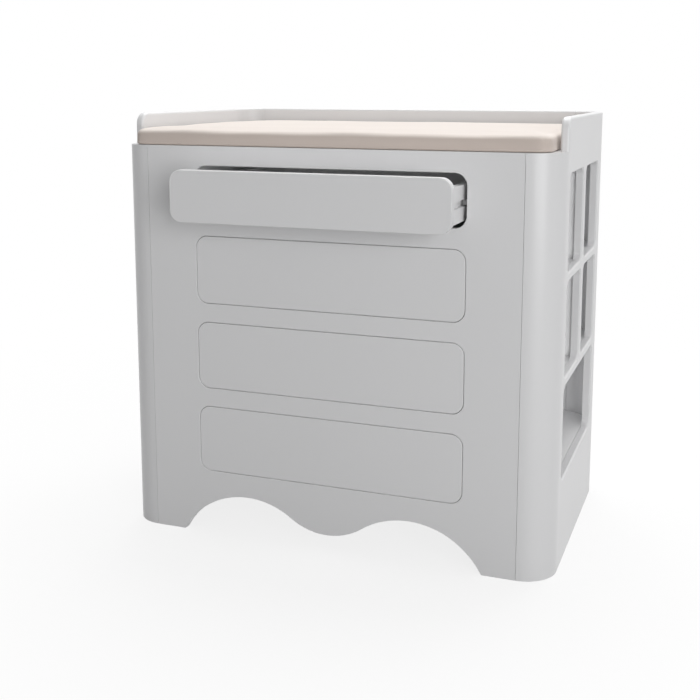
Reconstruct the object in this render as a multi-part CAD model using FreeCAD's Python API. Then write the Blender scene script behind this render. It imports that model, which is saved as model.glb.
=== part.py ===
import FreeCAD, Part
import math
import os

os.makedirs("parts", exist_ok=True)

# Miniature chest of drawers with a padded top, as moulded in white plastic at 1:12.
# Millimetres, +Z up, front towards -Y, floor at Z = 0.

# Case
width = 75.0
depth = 47.7
wall = 1.35
corner_radius = 5.5
seam_gap = 0.05
edge_chamfer = 0.08
rail_round = 0.4
joint_gap = 0.05

# Gallery: the low rail round the back and sides of the top
gallery_height = 5.2
shoulder_radius = 2.0

# Front: heights from the floor up
apron_height = 11.2
rail_height = 3.2
deep_height = 11.5
deep_count = 3
shallow_height = 8.5
opening_margin = 8.8
opening_corner = 2.0

# Scalloped base of the front
foot_width = 5.5
arch_radius = 13.9
arch_rise = 7.2
lobe_height = 2.65

# Side windows and the compartments behind them
sill_above_apron = 3.0
window_top_margin = 3.5
window_front_margin = 7.5
window_rear_margin = 8.8
window_rows = 3
mullion_width = 2.4
bar_height = 1.4
window_corner = 1.4
window_chamfer = 0.25

# Boards inside
board_thickness = 1.3
partition_clearance = 0.3
bottom_board_drop = 0.5

# Drawers
front_thickness = 1.5
front_gap = 0.08
top_drawer_out = 8.6
tray_side_gap = 0.7
tray_under_gap = 1.1
tray_over_gap = 1.8
tray_rear_space = 5.0
tray_wall = 1.2
tray_floor = 1.0
tray_corner = 1.0

# Drawer runners and the grooves that ride on them
runner_height = 0.8
runner_setback = 0.3
groove_depth = 0.6
running_gap = 0.15

# Pad
pad_thickness = 2.9
pad_side_gap = 0.25
pad_front_setback = 0.5
pad_corner = 2.6
pad_round = 1.0

# Places that follow from the sizes above
half_width = width / 2
seam_x = half_width - corner_radius
front_y = (top_drawer_out - depth) / 2
back_y = front_y + depth
inner_front_y = front_y + wall
inner_back_y = back_y - wall
inner_x = half_width - wall
panel_top = apron_height + deep_count * (deep_height + rail_height) + shallow_height + rail_height
case_top = panel_top + gallery_height
opening_x = seam_x - opening_margin
bay_x = opening_x + partition_clearance
cubby_x = bay_x + wall
window_sill = apron_height + sill_above_apron
bottom_top_z = apron_height - bottom_board_drop
ceiling_z = panel_top - board_thickness
window_span = panel_top - window_top_margin - window_sill
window_height = (window_span - (window_rows - 1) * bar_height) / window_rows
window_width = (depth - window_front_margin - window_rear_margin - mullion_width) / 2
row_pitch = window_height + bar_height
mullion_y = front_y + window_front_margin + window_width

AXES = {"X": FreeCAD.Vector(1, 0, 0), "Y": FreeCAD.Vector(0, 1, 0), "Z": FreeCAD.Vector(0, 0, 1)}
SIDES = {"left": -1, "right": 1}
REACH = 1.0
TOLERANCE = 1e-6


def block(low, high):
    """Box between two opposite corners."""
    size = [b - a for a, b in zip(low, high)]
    return Part.makeBox(*size, FreeCAD.Vector(*low))


def is_straight(edge, axis):
    """True for a straight edge that runs along one axis."""
    if not isinstance(edge.Curve, Part.Line):
        return False
    return abs(edge.Curve.Direction.dot(AXES[axis])) > 1 - TOLERANCE


def rounded_block(low, high, axis, radius):
    """Box with the four edges along one axis rounded."""
    box = block(low, high)
    return box.makeFillet(radius, [edge for edge in box.Edges if is_straight(edge, axis)])


def edges_on_plane(shape, axis, level):
    """Edges that lie wholly in the plane at this level of an axis."""
    found = []
    for edge in shape.Edges:
        middle = edge.valueAt((edge.FirstParameter + edge.LastParameter) / 2)
        points = [vertex.Point for vertex in edge.Vertexes] + [middle]
        if all(abs(point.dot(AXES[axis]) - level) < TOLERANCE for point in points):
            found.append(edge)
    return found


def at_side(box_low, box_high, sign):
    """The same two corners mirrored to the left side when sign is -1."""
    if sign > 0:
        return box_low, box_high
    low = (-box_high[0], box_low[1], box_low[2])
    high = (-box_low[0], box_high[1], box_high[2])
    return low, high


def arc(start, middle, end):
    """Circular arc through three points, as an edge."""
    return Part.Arc(FreeCAD.Vector(*start), FreeCAD.Vector(*middle), FreeCAD.Vector(*end)).toShape()


def line(start, end):
    """Straight edge between two points."""
    return Part.makeLine(FreeCAD.Vector(*start), FreeCAD.Vector(*end))


def case_plan(inset, low_z, high_z):
    """The case's rounded plan, moved in by an inset and raised between two heights."""
    low = (inset - half_width, front_y + inset, low_z)
    high = (half_width - inset, back_y - inset, high_z)
    return rounded_block(low, high, "Z", corner_radius - inset)


def openings():
    """Bottom and top height of each drawer opening, from the top drawer down."""
    spans = []
    bottom = apron_height
    for height in [deep_height] * deep_count + [shallow_height]:
        spans.append((bottom, bottom + height))
        bottom += height + rail_height
    return spans[::-1]


def scallop():
    """Lower edge of the front: foot, arch, centre lobe, arch, foot, each arc tangent to the next."""
    centre_z = arch_rise - arch_radius
    foot_x = seam_x - foot_width
    arch_centre = foot_x - math.sqrt(arch_radius ** 2 - centre_z ** 2)
    drop = arch_rise - lobe_height
    radii = (arch_centre ** 2 + drop ** 2) / (2 * drop)
    lobe_radius = radii - arch_radius
    meet_x = arch_centre * lobe_radius / radii
    meet_z = centre_z + arch_radius * (lobe_height + lobe_radius - centre_z) / radii
    edge_x = seam_x - seam_gap / 2
    left_arch = arc((-foot_x, 0, 0), (-arch_centre, 0, arch_rise), (-meet_x, 0, meet_z))
    lobe = arc((-meet_x, 0, meet_z), (0, 0, lobe_height), (meet_x, 0, meet_z))
    right_arch = arc((meet_x, 0, meet_z), (arch_centre, 0, arch_rise), (foot_x, 0, 0))
    left_foot = line((-edge_x, 0, 0), (-foot_x, 0, 0))
    right_foot = line((foot_x, 0, 0), (edge_x, 0, 0))
    return edge_x, [left_foot, left_arch, lobe, right_arch, right_foot]


def front_panel():
    """Flat front between the seams, with the scalloped base and a hole for each drawer."""
    edge_x, base = scallop()
    rest = [line((edge_x, 0, 0), (edge_x, 0, panel_top)),
            line((edge_x, 0, panel_top), (-edge_x, 0, panel_top)),
            line((-edge_x, 0, panel_top), (-edge_x, 0, 0))]
    face = Part.Face(Part.Wire(base + rest))
    panel = face.extrude(FreeCAD.Vector(0, wall, 0))
    panel.translate(FreeCAD.Vector(0, front_y, 0))
    for bottom, top in openings():
        low = (-opening_x, front_y - REACH, bottom)
        high = (opening_x, inner_front_y + REACH, top)
        panel = panel.cut(rounded_block(low, high, "Y", opening_corner))
    edges = []
    for edge in edges_on_plane(panel, "Y", front_y):
        middle = edge.BoundBox.Center
        if abs(middle.x) < edge_x - TOLERANCE and TOLERANCE < middle.z < panel_top - TOLERANCE:
            edges.append(edge)
    return panel.makeChamfer(edge_chamfer, edges)


def back_panel():
    """Flat back between the seams, up to the top of the gallery."""
    edge_x = seam_x - seam_gap / 2
    panel = block((-edge_x, inner_back_y, 0), (edge_x, back_y, case_top))
    top = edges_on_plane(panel, "Z", case_top)
    return panel.makeFillet(rail_round, [edge for edge in top if is_straight(edge, "X")])


def side_outline():
    """Side view of the side panels: the gallery starts behind the front corner with a round shoulder."""
    rail_y = front_y + corner_radius
    turn = shoulder_radius * (1 - math.sqrt(0.5))
    shoulder = arc((0, rail_y, case_top - shoulder_radius),
                   (0, rail_y + turn, case_top - turn),
                   (0, rail_y + shoulder_radius, case_top))
    edges = [line((0, front_y, 0), (0, back_y, 0)),
             line((0, back_y, 0), (0, back_y, case_top)),
             line((0, back_y, case_top), (0, rail_y + shoulder_radius, case_top)),
             shoulder,
             line((0, rail_y, case_top - shoulder_radius), (0, rail_y, panel_top)),
             line((0, rail_y, panel_top), (0, front_y, panel_top)),
             line((0, front_y, panel_top), (0, front_y, 0))]
    return Part.Face(Part.Wire(Part.__sortEdges__(edges)))


def windows():
    """Cutters for the side windows: two columns in the upper rows, one wide window in the lowest."""
    first_y = front_y + window_front_margin
    last_y = back_y - window_rear_margin
    cutters = []
    for row in range(window_rows):
        sill = window_sill + row * row_pitch
        spans = [(first_y, mullion_y), (mullion_y + mullion_width, last_y)]
        if row == 0:
            spans = [(first_y, last_y)]
        for low_y, high_y in spans:
            low = (inner_x - REACH, low_y, sill)
            high = (half_width + REACH, high_y, sill + window_height)
            cutters.append(rounded_block(low, high, "X", window_corner))
    return cutters


def round_rail(panel):
    """Round both top edges of the gallery rail, over the shoulder and down its front end."""
    rail_y = front_y + corner_radius
    edges = [edge for edge in edges_on_plane(panel, "Z", case_top) if edge.BoundBox.YLength > 2 * wall]
    for edge in panel.Edges:
        if isinstance(edge.Curve, Part.Circle) and abs(edge.Curve.Axis.x) > 1 - TOLERANCE:
            edges.append(edge)
    for edge in edges_on_plane(panel, "Y", rail_y):
        if is_straight(edge, "Z") and edge.BoundBox.ZMin > panel_top - TOLERANCE:
            edges.append(edge)
    return panel.makeFillet(rail_round, edges)


def window_edges(panel):
    """Outer edges of the windows, apart from the outline of the flat side they are cut in."""
    edges = []
    for edge in edges_on_plane(panel, "X", half_width):
        middle = edge.BoundBox.Center
        in_depth = front_y + corner_radius + TOLERANCE < middle.y < back_y - corner_radius - TOLERANCE
        if in_depth and TOLERANCE < middle.z < panel_top:
            edges.append(edge)
    return edges


def side_panel(sign):
    """Side moulded in one piece with its front and rear corners, its windows and its gallery rail."""
    ring = case_plan(0, 0, case_top).cut(case_plan(wall, -REACH, case_top + REACH))
    beyond = seam_x + seam_gap / 2
    profile = side_outline()
    profile.translate(FreeCAD.Vector(beyond, 0, 0))
    panel = ring.common(profile.extrude(FreeCAD.Vector(corner_radius, 0, 0)))
    panel = round_rail(panel)
    for cutter in windows():
        panel = panel.cut(cutter)
    panel = panel.makeChamfer(window_chamfer, window_edges(panel))
    if sign < 0:
        panel = panel.mirror(FreeCAD.Vector(0, 0, 0), AXES["X"])
    return panel


def top_board():
    """Board that the pad lies on, inside the panels."""
    return case_plan(wall + joint_gap, ceiling_z, panel_top)


def bottom_board():
    """Board under the lowest drawer, out of sight above the scallops."""
    return case_plan(wall + joint_gap, bottom_top_z - board_thickness, bottom_top_z)


def partition(sign):
    """Wall between the drawers and the side compartments."""
    low = (bay_x, inner_front_y + joint_gap, bottom_top_z)
    high = (cubby_x, inner_back_y - joint_gap, ceiling_z)
    return block(*at_side(low, high, sign))


def shelf(sign, row):
    """Floor of one row of side compartments, level with its window sill."""
    top = window_sill + row * row_pitch
    inside = case_plan(wall + joint_gap, top - board_thickness, top)
    low = (cubby_x, front_y, top - board_thickness)
    high = (half_width, back_y, top)
    return inside.common(block(*at_side(low, high, sign)))


def divider(sign, row):
    """Upright between the front and rear compartments, behind the mullion."""
    low_z = window_sill + row * row_pitch
    high_z = low_z + row_pitch - board_thickness
    if row == window_rows - 1:
        high_z = ceiling_z
    low_y = mullion_y + (mullion_width - board_thickness) / 2
    low = (cubby_x, low_y, low_z)
    high = (inner_x - joint_gap, low_y + board_thickness, high_z)
    return block(*at_side(low, high, sign))


def tray_levels(span):
    """Underside, rim and middle height of the tray behind an opening."""
    low = span[0] + tray_under_gap
    high = span[1] - tray_over_gap
    return low, high, (low + high) / 2


def runner(sign, span):
    """Rib on the partition that carries one side of a drawer."""
    middle = tray_levels(span)[2]
    tip_x = opening_x - tray_side_gap - groove_depth + running_gap
    low = (tip_x, front_y + front_thickness + runner_setback, middle - runner_height / 2)
    high = (bay_x, inner_back_y - tray_rear_space, middle + runner_height / 2)
    return block(*at_side(low, high, sign))


def drawer_front(span):
    """Plain drawer front with rounded corners and a fine bevel round its face."""
    half = opening_x - front_gap
    low = (-half, front_y, span[0] + front_gap)
    high = (half, front_y + front_thickness, span[1] - front_gap)
    plate = rounded_block(low, high, "Y", opening_corner - front_gap)
    return plate.makeChamfer(edge_chamfer, edges_on_plane(plate, "Y", front_y))


def drawer_tray(span):
    """Moulded tray with rounded inside corners and a groove along each side."""
    low_z, high_z, middle = tray_levels(span)
    half = opening_x - tray_side_gap
    start_y = front_y + front_thickness
    end_y = inner_back_y - tray_rear_space
    outer = rounded_block((-half, start_y, low_z), (half, end_y, high_z), "Z", tray_corner)
    pocket = rounded_block((tray_wall - half, start_y + tray_wall, low_z + tray_floor),
                           (half - tray_wall, end_y - tray_wall, high_z + REACH), "Z", tray_corner)
    tray = outer.cut(pocket)
    groove_half = runner_height / 2 + running_gap
    for sign in SIDES.values():
        low = (half - groove_depth, start_y - REACH, middle - groove_half)
        high = (half + REACH, end_y + REACH, middle + groove_half)
        tray = tray.cut(block(*at_side(low, high, sign)))
    return tray


def pad():
    """Changing pad between the rails, its front corners inside those of the case."""
    half = inner_x - pad_side_gap
    low = (-half, front_y + pad_front_setback, panel_top)
    high = (half, inner_back_y - pad_side_gap, panel_top + pad_thickness)
    slab = block(low, high)
    for end_y, radius in ((low[1], pad_corner), (high[1], corner_radius - wall - pad_side_gap)):
        corners = [edge for edge in edges_on_plane(slab, "Y", end_y) if is_straight(edge, "Z")]
        slab = slab.makeFillet(radius, corners)
    return slab.makeFillet(pad_round, edges_on_plane(slab, "Z", high[2]))


def write(name, shape):
    """Save one piece under its own name."""
    shape.exportStep("parts/" + name + ".step")


write("front_panel", front_panel())
write("back_panel", back_panel())
write("top_board", top_board())
write("bottom_board", bottom_board())
write("pad", pad())
for side, sign in SIDES.items():
    write("side_panel_" + side, side_panel(sign))
    write("partition_" + side, partition(sign))
    for row in range(window_rows):
        write("shelf_" + side + "_" + str(row + 1), shelf(sign, row))
        if row > 0:
            write("divider_" + side + "_" + str(row + 1), divider(sign, row))
for number, span in enumerate(openings(), start=1):
    out = FreeCAD.Vector(0, -top_drawer_out if number == 1 else 0, 0)
    for piece, shape in (("front", drawer_front(span)), ("tray", drawer_tray(span))):
        shape.translate(out)
        write("drawer_" + str(number) + "_" + piece, shape)
    for side, sign in SIDES.items():
        write("runner_" + str(number) + "_" + side, runner(sign, span))
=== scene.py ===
import math

import bpy
import numpy as np
from bpy.props import FloatProperty, FloatVectorProperty, IntProperty, PointerProperty
from mathutils import Matrix, Vector


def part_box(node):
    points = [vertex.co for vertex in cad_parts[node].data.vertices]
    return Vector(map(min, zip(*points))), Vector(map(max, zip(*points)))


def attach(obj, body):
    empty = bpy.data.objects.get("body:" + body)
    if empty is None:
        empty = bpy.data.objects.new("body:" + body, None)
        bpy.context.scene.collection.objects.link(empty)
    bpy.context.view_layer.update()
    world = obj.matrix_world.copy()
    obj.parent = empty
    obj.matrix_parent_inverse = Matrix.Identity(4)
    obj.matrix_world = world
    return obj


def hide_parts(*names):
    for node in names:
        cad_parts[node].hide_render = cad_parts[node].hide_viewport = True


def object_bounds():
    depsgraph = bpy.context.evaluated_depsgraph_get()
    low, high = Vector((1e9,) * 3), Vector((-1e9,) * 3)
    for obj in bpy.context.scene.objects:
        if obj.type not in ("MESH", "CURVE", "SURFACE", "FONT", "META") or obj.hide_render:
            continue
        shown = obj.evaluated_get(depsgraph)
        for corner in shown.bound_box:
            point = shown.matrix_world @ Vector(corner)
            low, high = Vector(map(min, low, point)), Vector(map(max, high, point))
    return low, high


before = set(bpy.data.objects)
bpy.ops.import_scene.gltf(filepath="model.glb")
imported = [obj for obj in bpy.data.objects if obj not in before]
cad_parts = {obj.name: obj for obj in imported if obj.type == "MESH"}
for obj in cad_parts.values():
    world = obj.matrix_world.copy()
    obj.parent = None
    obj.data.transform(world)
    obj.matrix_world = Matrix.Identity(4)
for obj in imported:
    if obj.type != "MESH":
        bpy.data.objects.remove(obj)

bl_info = {
    "name": "Miniature Nursery Chest",
    "version": (1, 0, 0),
    "blender": (4, 5, 0),
    "location": "3D View > Sidebar > Nursery Chest",
    "description": "Dresses a dolls' house nursery chest: moulded plastic, soft pad and studio",
    "category": "Object",
}

CAD_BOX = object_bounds()
MM = 0.001

SHELL_NODES = ("front_panel", "back_panel", "side_panel_left", "side_panel_right")
ALL_NODES = tuple(sorted(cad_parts))
DRAWER_FRONTS = tuple(n for n in ALL_NODES if n.startswith("drawer_") and n.endswith("_front"))
DRAWER_TRAYS = tuple(n for n in ALL_NODES if n.startswith("drawer_") and n.endswith("_tray"))
RUNNERS = tuple(n for n in ALL_NODES if n.startswith("runner_"))
INSIDE_NODES = tuple(n for n in ALL_NODES
                     if n not in SHELL_NODES + DRAWER_FRONTS + DRAWER_TRAYS + RUNNERS + ("pad",))

WHITE = (1.0, 1.0, 1.0, 1.0)
# The parts of a noise texture's range that are stretched over the whole of what they drive
NOISE_SPAN = (0.2, 0.8)
FIBRE_SPAN = (0.3, 0.7)

# Moulded plastic: texture scales per metre, tones as factors of the base colour
PLASTIC_IOR = 1.50
SKIN_ROUGHNESS = 0.08
DRIFT_SCALE = 30.0
DRIFT_TONES = (0.992, 1.008)
SPECK_SCALE = 2400.0
SPECK_SHARE = 0.3
SPECK_TONE = 0.985
SMUDGE_SCALE = 60.0
SMUDGE = 0.012
GRAIN_SCALE = 900.0
GRAIN = 0.01
PEEL_SCALE = 1100.0
PEEL_DEPTH = 0.008 * MM
OUTSIDE_PEEL = 0.10
INSIDE_PEEL = 0.25

# Pad cover
WAVE_PERIOD = 2 * math.pi / 20      # length of one band of a wave texture with a scale of 1
FIBRE_SCALE = 2600.0
CLOUD_SCALE = 70.0
COVER_TONES = (0.96, 1.04)
# Darker tone painted between the threads: painted shade in the hollows of the weave
VALLEY_SHADE_TONE = 0.97
SEAM_SCALE = 90.0
SEAM_WANDER = 0.1 * MM
SEAM_BLUR = 0.2 * MM
COVER_ROUGHNESS = (0.72, 0.88)
THREAD_DEPTH = 0.04 * MM
FIBRE_DEPTH = 0.02 * MM

# Pad shape
FRONT_CORNER = 2.2 * MM
REAR_CORNER = 3.7 * MM
FOOT_RADIUS = 0.35 * MM
CORNER_POINTS = 24
RING_POINTS = 220
UNDER_RINGS = 10
FOOT_RINGS = 5
SIDE_RINGS = 5
EDGE_RINGS = 9
TOP_RINGS = 26
FIRST_SHARE = 0.06                  # size of the first ring, as a share of the outline
LAST_SHARE = 0.05                   # size of the last ring
CROWN_POWER = 0.8
RIPPLE_FADE = 6
RIPPLES = ((0.6, 7, 0.9), (0.4, 16, 2.3))    # share, waves round the pad, start angle

# Filling of the pad, at the enlarged size
FILL_SCALE = 10.0
VOXEL = 0.006
HELD_BAND = 0.003
TINY = 1e-9

# Floor: between two distances from the middle, the share of plain white goes from one to the other
FLOOR_REACH = 6.0
FLOOR_GRAIN_SCALE = 120.0
FLOOR_TONES = (0.998, 1.002)
SHADOW_SPAN = (0.04, 0.16)
WHITE_SHARES = (0.82, 1.0)

# Lamps: place from the middle of the chest, and side of the square face
RIGHT_LAMP = ((0.28, -0.32, 0.05), 0.26)
LEFT_LAMP = ((-0.42, -0.42, 0.05), 0.30)
TOP_LAMP = ((0.0, 0.30, 0.60), 0.60)


# ---------------------------------------------------------------- settings

class PlasticSettings(bpy.types.PropertyGroup):
    """Finish of the moulded white plastic."""
    colour: FloatVectorProperty(
        name="Colour", description="Base colour of the moulded white", subtype="COLOR",
        size=3, min=0.0, max=1.0, default=(0.80, 0.80, 0.807))
    # Paler than the outer white of the same plastic: painted light that brightens the shaded inner
    # compartments
    inside_painted_light_colour: FloatVectorProperty(
        name="Inside colour", description="Base colour of the boards, partitions, shelves and dividers",
        subtype="COLOR", size=3, min=0.0, max=1.0, default=(0.93, 0.93, 0.935))
    tray_colour: FloatVectorProperty(
        name="Tray colour", description="Base colour of the drawer trays", subtype="COLOR",
        size=3, min=0.0, max=1.0, default=(0.83, 0.83, 0.835))
    # Grey in place of the white plastic: painted shade in the dim drawer bay
    runner_painted_shade_colour: FloatVectorProperty(
        name="Runner colour", description="Base colour of the drawer runners", subtype="COLOR",
        size=3, min=0.0, max=1.0, default=(0.50, 0.50, 0.50))
    gloss_roughness: FloatProperty(
        name="Outside roughness", description="Roughness of the polished outer faces",
        min=0.0, max=1.0, default=0.32)
    satin_roughness: FloatProperty(
        name="Inside roughness", description="Roughness of the unpolished inner faces",
        min=0.0, max=1.0, default=0.42)
    polish: FloatProperty(
        name="Polish", description="Strength of the polished skin on the outer faces",
        min=0.0, max=1.0, default=0.04)


class PadSettings(bpy.types.PropertyGroup):
    """Shape and cover of the soft pad."""
    crown: FloatProperty(
        name="Crown", description="Rise of the pad's middle over its rim", unit="LENGTH",
        min=0.0, default=0.30 * MM)
    edge_radius: FloatProperty(
        name="Edge radius", description="Roundness of the pad's upper edge", unit="LENGTH",
        min=0.1 * MM, default=0.8 * MM)
    ripple: FloatProperty(
        name="Ripple", description="Unevenness of the pad's upper edge", unit="LENGTH",
        min=0.0, default=0.13 * MM)
    slack: FloatProperty(
        name="Slack", description="How much smaller the pad starts before it is filled",
        unit="LENGTH", min=0.0, default=0.22 * MM)
    pressure: FloatProperty(
        name="Pressure", description="Filling pressure of the cloth simulation",
        min=0.0, default=4.0)
    frames: IntProperty(
        name="Frames", description="Simulated frames", min=1, default=20)
    thread: FloatProperty(
        name="Thread pitch", description="Distance between the threads of the cover",
        unit="LENGTH", min=0.05 * MM, default=0.26 * MM)
    colour: FloatVectorProperty(
        name="Colour", description="Base colour of the pad's cover", subtype="COLOR",
        size=3, min=0.0, max=1.0, default=(0.87, 0.79, 0.73))
    # Deeper than the cover's own colour: the sewn band on the pad's sides, and painted shade on those
    # sides too
    border_and_shade_colour: FloatVectorProperty(
        name="Border colour", description="Base colour of the pad's sides", subtype="COLOR",
        size=3, min=0.0, max=1.0, default=(0.66, 0.575, 0.52))


class StudioSettings(bpy.types.PropertyGroup):
    """Camera, lamps and floor."""
    lens: FloatProperty(
        name="Lens", description="Focal length of the camera in millimetres",
        min=1.0, default=55.04)
    camera_place: FloatVectorProperty(
        name="Camera place", description="Camera from the foot of the front's middle",
        subtype="TRANSLATION", size=3, unit="LENGTH", default=(0.06289, -0.15732, 0.07678))
    camera_turn: FloatProperty(
        name="Camera turn", description="Turn of the camera to the left of straight on",
        subtype="ANGLE", default=math.radians(20.42))
    camera_tilt: FloatProperty(
        name="Camera tilt", description="Tilt of the camera below level", subtype="ANGLE",
        default=math.radians(8.81))
    camera_shift: FloatProperty(
        name="Camera shift", description="Vertical lens shift, as a share of the frame",
        default=-0.14)
    right_power: FloatProperty(
        name="Right lamp", description="Power of the soft lamp on the right", unit="POWER",
        min=0.0, default=0.92)
    left_power: FloatProperty(
        name="Left lamp", description="Power of the soft lamp on the left", unit="POWER",
        min=0.0, default=0.06)
    top_power: FloatProperty(
        name="Top lamp", description="Power of the wide lamp overhead", unit="POWER",
        min=0.0, default=4.4)
    surround: FloatProperty(
        name="Surround", description="Level of the even light from all round",
        min=0.0, default=0.30)
    floor_colour: FloatVectorProperty(
        name="Floor colour", description="Colour of the plain floor", subtype="COLOR",
        size=3, min=0.0, max=1.0, default=(0.94, 0.94, 0.94))
    floor_bounce: FloatVectorProperty(
        name="Floor bounce", description="Colour of the light that the floor throws back",
        subtype="COLOR", size=3, min=0.0, max=1.0, default=(0.30, 0.30, 0.30))


# ---------------------------------------------------------------- node helpers

def new_material(name):
    """A node material with only an output and a Principled shader; returns the material, its nodes, its
    links and the shader."""
    material = bpy.data.materials.new(name)
    material.use_nodes = True
    nodes = material.node_tree.nodes
    links = material.node_tree.links
    nodes.clear()
    output = nodes.new("ShaderNodeOutputMaterial")
    shader = nodes.new("ShaderNodeBsdfPrincipled")
    links.new(shader.outputs["BSDF"], output.inputs["Surface"])
    return material, nodes, links, shader


def object_place(nodes, links, scale=(1.0, 1.0, 1.0)):
    """Object coordinates through a Mapping node with this scale; returns its vector socket."""
    place = nodes.new("ShaderNodeTexCoord")
    mapping = nodes.new("ShaderNodeMapping")
    mapping.inputs["Scale"].default_value = scale
    links.new(place.outputs["Object"], mapping.inputs["Vector"])
    return mapping.outputs["Vector"]


def noise(nodes, links, vector, scale, detail=3.0, roughness=0.5):
    """Noise texture on a vector socket; returns its value socket."""
    texture = nodes.new("ShaderNodeTexNoise")
    texture.inputs["Scale"].default_value = scale
    texture.inputs["Detail"].default_value = detail
    texture.inputs["Roughness"].default_value = roughness
    links.new(vector, texture.inputs["Vector"])
    return texture.outputs["Fac"]


def to_range(nodes, links, value, from_min, from_max, to_min, to_max):
    """Map Range node with clamping; returns its result socket."""
    remap = nodes.new("ShaderNodeMapRange")
    remap.inputs["From Min"].default_value = from_min
    remap.inputs["From Max"].default_value = from_max
    remap.inputs["To Min"].default_value = to_min
    remap.inputs["To Max"].default_value = to_max
    links.new(value, remap.inputs["Value"])
    return remap.outputs["Result"]


def math_node(nodes, links, operation, first, second):
    """Math node on two sockets or numbers; returns its value socket."""
    node = nodes.new("ShaderNodeMath")
    node.operation = operation
    for socket, value in zip(node.inputs, (first, second)):
        if isinstance(value, (int, float)):
            socket.default_value = value
        else:
            links.new(value, socket)
    return node.outputs["Value"]


def shade(colour, factor):
    """A colour with an alpha of 1, made lighter or darker by a factor."""
    return tuple(min(1.0, channel * factor) for channel in colour) + (1.0,)


def mix_colours(nodes, links, factor, first, second):
    """Mix node between two colours, each a tuple or a socket; returns its colour socket."""
    mix = nodes.new("ShaderNodeMix")
    mix.data_type = "RGBA"
    links.new(factor, mix.inputs["Factor"])
    for name, value in (("A", first), ("B", second)):
        socket = [s for s in mix.inputs if s.name == name and s.type == "RGBA"][0]
        if isinstance(value, tuple):
            socket.default_value = value
        else:
            links.new(value, socket)
    return [s for s in mix.outputs if s.type == "RGBA"][0]


def bump(nodes, links, height, strength, distance, normal=None):
    """Bump node; returns its normal socket."""
    node = nodes.new("ShaderNodeBump")
    node.inputs["Strength"].default_value = strength
    node.inputs["Distance"].default_value = distance
    links.new(height, node.inputs["Height"])
    if normal:
        links.new(normal, node.inputs["Normal"])
    return node.outputs["Normal"]


# ---------------------------------------------------------------- finishes

def moulded_plastic(name, colour, base_roughness, skin, peel_strength):
    """Moulded plastic: faint drift and specks of tone, orange peel, and a polished skin."""
    material, nodes, links, shader = new_material(name)
    place = object_place(nodes, links)

    drift = to_range(nodes, links, noise(nodes, links, place, DRIFT_SCALE, 1.0),
                     *NOISE_SPAN, 0.0, 1.0)
    dark, light = shade(colour, DRIFT_TONES[0]), shade(colour, DRIFT_TONES[1])
    body = mix_colours(nodes, links, drift, dark, light)
    speck = to_range(nodes, links, noise(nodes, links, place, SPECK_SCALE, 1.0),
                     *NOISE_SPAN, 0.0, 1.0)
    speck = math_node(nodes, links, "MULTIPLY", speck, SPECK_SHARE)
    body = mix_colours(nodes, links, speck, body, shade(colour, SPECK_TONE))
    links.new(body, shader.inputs["Base Color"])

    smudge = to_range(nodes, links, noise(nodes, links, place, SMUDGE_SCALE, 1.0),
                      *NOISE_SPAN, -SMUDGE, SMUDGE)
    grain = to_range(nodes, links, noise(nodes, links, place, GRAIN_SCALE, 2.0),
                     *NOISE_SPAN, -GRAIN, GRAIN)
    rough = math_node(nodes, links, "ADD", smudge, grain)
    rough = math_node(nodes, links, "ADD", rough, base_roughness)
    links.new(rough, shader.inputs["Roughness"])

    peel = noise(nodes, links, place, PEEL_SCALE, 1.0)
    links.new(bump(nodes, links, peel, peel_strength, PEEL_DEPTH), shader.inputs["Normal"])
    shader.inputs["IOR"].default_value = PLASTIC_IOR
    shader.inputs["Coat Weight"].default_value = skin
    shader.inputs["Coat Roughness"].default_value = SKIN_ROUGHNESS
    return material


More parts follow.
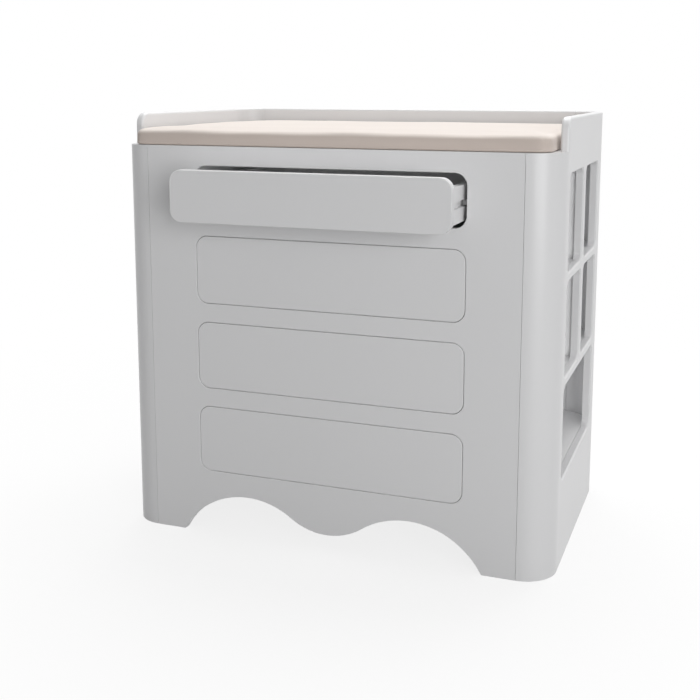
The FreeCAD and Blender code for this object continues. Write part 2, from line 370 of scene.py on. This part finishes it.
def woven_cover(settings, seam_height):
    """Soft cover: plain weave of threads along X, Y and Z with painted shade in the hollows between them,
    mottled fibre colour, a light sheen, and a sewn band below the seam in a deeper tone, which is also
    painted shade on the pad's sides."""
    material, nodes, links, shader = new_material("pad_cover_woven")
    place = object_place(nodes, links)
    waves = []
    for direction in ("X", "Y", "Z"):
        wave = nodes.new("ShaderNodeTexWave")
        wave.wave_type = "BANDS"
        wave.bands_direction = direction
        wave.wave_profile = "SIN"
        wave.inputs["Scale"].default_value = WAVE_PERIOD / settings.thread
        wave.inputs["Distortion"].default_value = 0.6
        wave.inputs["Detail"].default_value = 1.0
        wave.inputs["Detail Scale"].default_value = 3.0
        links.new(place, wave.inputs["Vector"])
        waves.append(wave.outputs["Fac"])
    crossing = math_node(nodes, links, "MULTIPLY", waves[0], waves[1])
    for first, second in ((0, 2), (1, 2)):
        pair = math_node(nodes, links, "MULTIPLY", waves[first], waves[second])
        crossing = math_node(nodes, links, "ADD", crossing, pair)
    threads = to_range(nodes, links, crossing, 0.1, 1.9, 0.0, 1.0)

    fibre = noise(nodes, links, place, FIBRE_SCALE, 3.0, 0.65)
    cloud = noise(nodes, links, place, CLOUD_SCALE, 3.0)
    tone = math_node(nodes, links, "ADD", to_range(nodes, links, cloud, *FIBRE_SPAN, 0.0, 0.5),
                     to_range(nodes, links, fibre, *FIBRE_SPAN, 0.0, 0.5))
    ground = mix_colours(nodes, links, tone, shade(settings.colour, COVER_TONES[0]),
                         shade(settings.colour, COVER_TONES[1]))
    # Painted shade: the gaps between the threads are darkened
    between = to_range(nodes, links, threads, 0.0, 1.0, 1.0, 0.0)
    valley_shade = mix_colours(nodes, links, between, ground, shade(settings.colour, VALLEY_SHADE_TONE))
    axes = nodes.new("ShaderNodeSeparateXYZ")
    links.new(place, axes.inputs["Vector"])
    wander = to_range(nodes, links, noise(nodes, links, place, SEAM_SCALE, 1.0),
                      *NOISE_SPAN, -SEAM_WANDER, SEAM_WANDER)
    height = math_node(nodes, links, "ADD", axes.outputs["Z"], wander)
    # Painted shade in part: below the seam the sides take the deeper colour of the sewn band
    border_and_shade_mask = to_range(nodes, links, height, seam_height - SEAM_BLUR, seam_height + SEAM_BLUR,
                      1.0, 0.0)
    painted = mix_colours(nodes, links, border_and_shade_mask, valley_shade, tuple(settings.border_and_shade_colour) + (1.0,))
    links.new(painted, shader.inputs["Base Color"])

    rough = to_range(nodes, links, fibre, *FIBRE_SPAN, *COVER_ROUGHNESS)
    links.new(rough, shader.inputs["Roughness"])
    weave = bump(nodes, links, threads, 0.25, THREAD_DEPTH)
    links.new(bump(nodes, links, fibre, 0.25, FIBRE_DEPTH, weave), shader.inputs["Normal"])
    shader.inputs["Sheen Weight"].default_value = 0.25
    shader.inputs["Sheen Roughness"].default_value = 0.5
    shader.inputs["Specular IOR Level"].default_value = 0.25
    return material


def dress(names, material):
    """Give CAD nodes one material in place of their plain one."""
    for name in names:
        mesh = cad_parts[name].data
        mesh.materials.clear()
        mesh.materials.append(material)


# ---------------------------------------------------------------- the pad's surface

def rounded_outline(low, high, front_radius, rear_radius, count):
    """Closed outline of a rectangle whose corners are quarter circles, front_radius at the low-Y side
    and rear_radius at the high-Y side: arcs joined in order by straight runs, then spaced evenly by
    length."""
    turns = np.linspace(0.0, math.pi / 2, CORNER_POINTS)
    corners = ((high[0], low[1], front_radius, -math.pi / 2),
               (high[0], high[1], rear_radius, 0.0),
               (low[0], high[1], rear_radius, math.pi / 2),
               (low[0], low[1], front_radius, math.pi))
    middle = (np.array(low[:2]) + np.array(high[:2])) / 2
    runs = []
    for x, y, radius, start in corners:
        centre = np.array([x, y]) + np.sign(middle - np.array([x, y])) * radius
        angle = start + turns
        runs.append(centre + radius * np.stack([np.cos(angle), np.sin(angle)], 1))
    points = np.concatenate(runs + [runs[0][:1]])
    along = np.concatenate([[0.0], np.cumsum(np.linalg.norm(np.diff(points, axis=0), axis=1))])
    spots = np.linspace(0.0, along[-1], count, endpoint=False)
    return np.stack([np.interp(spots, along, points[:, axis]) for axis in (0, 1)], 1)


def grid_mesh(name, rings):
    """Mesh of quads over rings of points (ring, point, xyz), each ring closed; the first and last rings
    are closed by a fan to their middle point."""
    count, size = rings.shape[:2]
    points = np.concatenate([rings.reshape(-1, 3), rings[:1].mean(1), rings[-1:].mean(1)])
    first, last = len(points) - 2, len(points) - 1
    ring, spot = np.meshgrid(np.arange(count - 1), np.arange(size), indexing="ij")
    following = (spot + 1) % size
    quads = np.stack([ring * size + spot, ring * size + following,
                      (ring + 1) * size + following, (ring + 1) * size + spot], -1).reshape(-1, 4)
    spots = np.arange(size)
    after = (spots + 1) % size
    top = (count - 1) * size
    start = np.stack([after, spots, np.full(size, first)], 1)
    end = np.stack([top + spots, top + after, np.full(size, last)], 1)
    mesh = bpy.data.meshes.new(name)
    mesh.from_pydata(points.tolist(), [], quads.tolist() + start.tolist() + end.tolist())
    mesh.update()
    mesh.shade_smooth()
    return mesh


def pad_rings(low, high, settings):
    """Crowned pad, as rings of the outline: they grow from the middle of the underside, turn up round the
    foot through a quarter circle, run up the side, turn in through a quarter circle of the edge radius,
    and shrink to the middle again while the top rises by the crown times one less the square of the
    share, to the crown power. The upper edge dips and rises by a sum of sines round the outline, which
    grow up the side and fade towards the middle."""
    outline = rounded_outline(low, high, FRONT_CORNER, REAR_CORNER, RING_POINTS)
    middle = outline.mean(0)
    half = np.array([high[0] - low[0], high[1] - low[1]]) / 2
    turn_round = np.linspace(0.0, 2 * math.pi, RING_POINTS, endpoint=False)
    ripple = settings.ripple * sum(share * np.sin(waves * turn_round + start)
                                   for share, waves, start in RIPPLES)
    radius = settings.edge_radius
    side_top = high[2] - radius
    rings = []

    def ring(inset, share, height, dip=0.0):
        """Add one ring: the outline moved in, made smaller and set at a height."""
        plan = middle + (outline - middle) * ((half - inset) / half) * share
        rings.append(np.concatenate([plan, (height + dip * ripple)[:, None]], 1))

    for share in np.linspace(FIRST_SHARE, 1.0, UNDER_RINGS):
        ring(FOOT_RADIUS, share, low[2])
    for turn in np.linspace(0.0, math.pi / 2, FOOT_RINGS)[1:]:
        ring(FOOT_RADIUS * (1 - math.sin(turn)), 1.0, low[2] + FOOT_RADIUS * (1 - math.cos(turn)))
    for height in np.linspace(low[2] + FOOT_RADIUS, side_top, SIDE_RINGS)[1:]:
        risen = (height - low[2] - FOOT_RADIUS) / (side_top - low[2] - FOOT_RADIUS)
        ring(0.0, 1.0, height, risen)
    for turn in np.linspace(0.0, math.pi / 2, EDGE_RINGS)[1:]:
        ring(radius * (1 - math.cos(turn)), 1.0, high[2] - radius * (1 - math.sin(turn)), 1.0)
    for share in np.linspace(1.0, LAST_SHARE, TOP_RINGS)[1:]:
        rise = settings.crown * (1 - share ** 2) ** CROWN_POWER
        ring(radius, share, high[2] + rise, share ** RIPPLE_FADE)
    return np.stack(rings)


def fill_with_air(pad, settings, scale):
    """Cloth simulation of the filling, on the pad scaled up so that its voxels are as large as on a real
    cushion; the underside is held, each point moves by no more than the slack, and the result goes back
    to true size."""
    pad.data.transform(Matrix.Scale(scale, 4))
    remesh = pad.modifiers.new("Remesh", "REMESH")
    remesh.mode = "VOXEL"
    remesh.voxel_size = VOXEL
    bake_modifiers(pad)
    start = read_points(pad.data)
    floor = start[:, 2].min()
    held = pad.vertex_groups.new(name="held")
    resting = np.nonzero(start[:, 2] < floor + HELD_BAND)[0]
    held.add(resting.tolist(), 1.0, "REPLACE")
    cloth = pad.modifiers.new("Cloth", "CLOTH")
    cloth.settings.use_pressure = True
    cloth.settings.uniform_pressure_force = settings.pressure
    cloth.settings.effector_weights.gravity = 0.0
    cloth.settings.vertex_group_mass = held.name
    cloth.point_cache.frame_start = 1
    cloth.point_cache.frame_end = settings.frames
    scene = bpy.context.scene
    for step in range(1, settings.frames + 1):
        scene.frame_set(step)
    swollen = evaluated_points(pad)
    scene.frame_set(1)
    pad.modifiers.clear()
    move = swollen - start
    length = np.linalg.norm(move, axis=1, keepdims=True)
    cap = settings.slack * scale
    move *= np.minimum(1.0, cap / np.maximum(length, TINY))
    write_points(pad.data, (start + move) / scale)


def read_points(mesh):
    """A mesh's points as an array."""
    flat = np.empty(len(mesh.vertices) * 3)
    mesh.vertices.foreach_get("co", flat)
    return flat.reshape(-1, 3)


def write_points(mesh, points):
    """Put an array of points into a mesh."""
    mesh.vertices.foreach_set("co", np.asarray(points, np.float32).ravel())
    mesh.update()


def evaluated_points(obj):
    """An object's points with its modifiers applied."""
    evaluated = obj.evaluated_get(bpy.context.evaluated_depsgraph_get())
    return read_points(evaluated.data)


def bake_modifiers(obj):
    """Replace an object's mesh by its evaluated one and drop its modifiers."""
    evaluated = obj.evaluated_get(bpy.context.evaluated_depsgraph_get())
    mesh = bpy.data.meshes.new_from_object(evaluated)
    obj.modifiers.clear()
    obj.data = mesh


def add_object(name, mesh):
    """Link a new object with this mesh into the scene."""
    obj = bpy.data.objects.new(name, mesh)
    bpy.context.scene.collection.objects.link(obj)
    return obj


# ---------------------------------------------------------------- the stage

def lay_floor(studio):
    """A wide plain square under the object, far enough out that its rim is never seen."""
    corners = [(x * FLOOR_REACH, y * FLOOR_REACH, 0)
               for x, y in ((-1, -1), (1, -1), (1, 1), (-1, 1))]
    mesh = bpy.data.meshes.new("floor")
    mesh.from_pydata(corners, [], [(0, 1, 2, 3)])
    floor = add_object("floor", mesh)
    mesh.materials.append(studio_floor(studio))


def studio_floor(studio):
    """Plain floor: it takes the object's shadow near the object and is plain white further out; the light
    that it throws back at the object is that of a greyer floor."""
    material, nodes, links, shader = new_material("floor_plain")
    place = object_place(nodes, links)
    grain = noise(nodes, links, place, FLOOR_GRAIN_SCALE)
    tone = mix_colours(nodes, links, grain, shade(studio.floor_colour, FLOOR_TONES[0]),
                       shade(studio.floor_colour, FLOOR_TONES[1]))
    seen = seen_rays(nodes, links)
    links.new(mix_colours(nodes, links, seen, tuple(studio.floor_bounce) + (1.0,), tone),
              shader.inputs["Base Color"])
    shader.inputs["Roughness"].default_value = 0.9
    shader.inputs["Specular IOR Level"].default_value = 0.1

    length = nodes.new("ShaderNodeVectorMath")
    length.operation = "LENGTH"
    links.new(place, length.inputs[0])
    far = to_range(nodes, links, length.outputs["Value"], *SHADOW_SPAN, *WHITE_SHARES)
    white = nodes.new("ShaderNodeEmission")
    white.inputs["Color"].default_value = WHITE
    white.inputs["Strength"].default_value = 1.0
    choose = nodes.new("ShaderNodeMixShader")
    links.new(math_node(nodes, links, "MULTIPLY", far, seen), choose.inputs["Fac"])
    links.new(shader.outputs["BSDF"], choose.inputs[1])
    links.new(white.outputs["Emission"], choose.inputs[2])
    output = [n for n in nodes if n.type == "OUTPUT_MATERIAL"][0]
    links.new(choose.outputs["Shader"], output.inputs["Surface"])
    return material


def seen_rays(nodes, links):
    """A socket that is 1 for camera, glossy and transmission rays, and 0 for the rest."""
    path = nodes.new("ShaderNodeLightPath")
    seen = math_node(nodes, links, "MAXIMUM", path.outputs["Is Camera Ray"],
                     path.outputs["Is Glossy Ray"])
    return math_node(nodes, links, "MAXIMUM", seen, path.outputs["Is Transmission Ray"])


def add_lamp(name, place, aim, side, power):
    """Square area lamp at a place, facing an aim point."""
    light = bpy.data.lights.new(name, "AREA")
    light.shape = "RECTANGLE"
    light.size = side
    light.size_y = side
    light.energy = power
    lamp = bpy.data.objects.new(name, light)
    lamp.location = place
    lamp.rotation_euler = (aim - place).to_track_quat("-Z", "Y").to_euler()
    bpy.context.scene.collection.objects.link(lamp)


def hang_lamps(studio):
    """A soft lamp at each side of the front, level with the drawers, and a wide one overhead."""
    low, high = CAD_BOX
    middle = (low + high) / 2
    for name, (offset, side), power in (("lamp_right", RIGHT_LAMP, studio.right_power),
                                        ("lamp_left", LEFT_LAMP, studio.left_power),
                                        ("lamp_top", TOP_LAMP, studio.top_power)):
        add_lamp(name, middle + Vector(offset), middle, side, power)


def light_surround(studio):
    """Even light from all round; the camera and reflections see plain white instead."""
    world = bpy.data.worlds.new("surround")
    world.use_nodes = True
    nodes = world.node_tree.nodes
    links = world.node_tree.links
    nodes.clear()
    output = nodes.new("ShaderNodeOutputWorld")
    even = nodes.new("ShaderNodeBackground")
    even.inputs["Color"].default_value = WHITE
    even.inputs["Strength"].default_value = studio.surround
    white = nodes.new("ShaderNodeBackground")
    white.inputs["Color"].default_value = WHITE
    white.inputs["Strength"].default_value = 1.0
    seen = seen_rays(nodes, links)
    choose = nodes.new("ShaderNodeMixShader")
    links.new(seen, choose.inputs["Fac"])
    links.new(even.outputs["Background"], choose.inputs[1])
    links.new(white.outputs["Background"], choose.inputs[2])
    links.new(choose.outputs["Shader"], output.inputs["Surface"])
    bpy.context.scene.world = world


def place_camera(studio):
    """Camera from the foot of the front's middle, turned left and tilted down, with a small lens shift."""
    low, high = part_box("front_panel")
    foot = Vector(((low.x + high.x) / 2, low.y, low.z))
    data = bpy.data.cameras.new("camera")
    data.lens = studio.lens
    data.shift_y = studio.camera_shift
    data.clip_start = 0.01
    camera = bpy.data.objects.new("camera", data)
    camera.location = foot + Vector(studio.camera_place)
    camera.rotation_euler = (math.pi / 2 - studio.camera_tilt, 0.0, studio.camera_turn)
    bpy.context.scene.collection.objects.link(camera)
    bpy.context.scene.camera = camera


# ---------------------------------------------------------------- operators

class CHEST_OT_finish_shell(bpy.types.Operator):
    """Give the case panels their polished white plastic"""
    bl_idname = "nursery_chest.finish_shell"
    bl_label = "Finish Case Panels"

    def execute(self, context):
        plastic = context.scene.chest_plastic
        dress(SHELL_NODES, moulded_plastic("case_gloss", plastic.colour, plastic.gloss_roughness,
                                           plastic.polish, OUTSIDE_PEEL))
        return {"FINISHED"}


class CHEST_OT_finish_inside(bpy.types.Operator):
    """Give the inner boards satin white plastic, paler than the outside as painted light in the shaded
    compartments, and the runners satin grey as painted shade in the drawer bay
    """
    bl_idname = "nursery_chest.finish_inside"
    bl_label = "Finish Inner Boards"

    def execute(self, context):
        plastic = context.scene.chest_plastic
        # Paler inside white: painted light for the shaded compartments
        dress(INSIDE_NODES, moulded_plastic("inner_satin_painted_light", plastic.inside_painted_light_colour,
                                            plastic.satin_roughness, 0.0, INSIDE_PEEL))
        # Grey runners: painted shade in the dim drawer bay
        dress(RUNNERS, moulded_plastic("runner_satin_painted_shade", plastic.runner_painted_shade_colour,
                                       plastic.satin_roughness, 0.0, INSIDE_PEEL))
        return {"FINISHED"}


class CHEST_OT_finish_drawers(bpy.types.Operator):
    """Give the drawer fronts polished plastic and the trays satin plastic"""
    bl_idname = "nursery_chest.finish_drawers"
    bl_label = "Finish Drawers"

    def execute(self, context):
        plastic = context.scene.chest_plastic
        dress(DRAWER_FRONTS, moulded_plastic("drawer_gloss", plastic.colour, plastic.gloss_roughness,
                                             plastic.polish, OUTSIDE_PEEL))
        dress(DRAWER_TRAYS, moulded_plastic("tray_satin", plastic.tray_colour,
                                            plastic.satin_roughness, 0.0, INSIDE_PEEL))
        return {"FINISHED"}


class CHEST_OT_make_pad(bpy.types.Operator):
    """Make the soft pad, fill it, and cover it in fabric"""
    bl_idname = "nursery_chest.make_pad"
    bl_label = "Make Pad"

    def execute(self, context):
        settings = context.scene.chest_pad
        low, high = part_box("pad")
        inset = Vector((1, 1, 0)) * settings.slack
        headroom = Vector((0, 0, settings.slack))
        rings = pad_rings(low + inset, high - inset - headroom, settings)
        pad = add_object("pad_soft", grid_mesh("pad_soft", rings))
        fill_with_air(pad, settings, FILL_SCALE)
        subdivision = pad.modifiers.new("Subdivision", "SUBSURF")
        subdivision.levels = 1
        subdivision.render_levels = 1
        pad.data.shade_smooth()
        pad.data.materials.clear()
        pad.data.materials.append(woven_cover(settings, high.z - settings.edge_radius))
        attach(pad, "case")
        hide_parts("pad")
        return {"FINISHED"}


class CHEST_OT_set_stage(bpy.types.Operator):
    """Set the floor, the lamps, the surround and the camera"""
    bl_idname = "nursery_chest.set_stage"
    bl_label = "Set Stage"

    def execute(self, context):
        studio = context.scene.chest_studio
        lay_floor(studio)
        hang_lamps(studio)
        light_surround(studio)
        place_camera(studio)
        context.scene.view_settings.view_transform = "Standard"
        return {"FINISHED"}


# ---------------------------------------------------------------- panel and registration

STEPS = (CHEST_OT_finish_shell, CHEST_OT_finish_inside, CHEST_OT_finish_drawers, CHEST_OT_make_pad,
         CHEST_OT_set_stage)


class CHEST_PT_sidebar(bpy.types.Panel):
    """Lists the settings and the steps that dress the chest"""
    bl_idname = "CHEST_PT_sidebar"
    bl_label = "Nursery Chest"
    bl_space_type = "VIEW_3D"
    bl_region_type = "UI"
    bl_category = "Nursery Chest"

    def draw(self, context):
        for group in (context.scene.chest_plastic, context.scene.chest_pad, context.scene.chest_studio):
            box = self.layout.box()
            for name in group.__annotations__:
                box.prop(group, name)
        for step in STEPS:
            self.layout.operator(step.bl_idname)


GROUPS = {"chest_plastic": PlasticSettings, "chest_pad": PadSettings, "chest_studio": StudioSettings}
CLASSES = tuple(GROUPS.values()) + STEPS + (CHEST_PT_sidebar,)


def register():
    for item in CLASSES:
        bpy.utils.register_class(item)
    for name, group in GROUPS.items():
        setattr(bpy.types.Scene, name, PointerProperty(type=group))


def unregister():
    for name in GROUPS:
        delattr(bpy.types.Scene, name)
    for item in reversed(CLASSES):
        bpy.utils.unregister_class(item)


def main():
    """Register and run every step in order."""
    register()
    for step in STEPS:
        group, name = step.bl_idname.split(".")
        getattr(getattr(bpy.ops, group), name)()


if __name__ == "__main__":
    main()
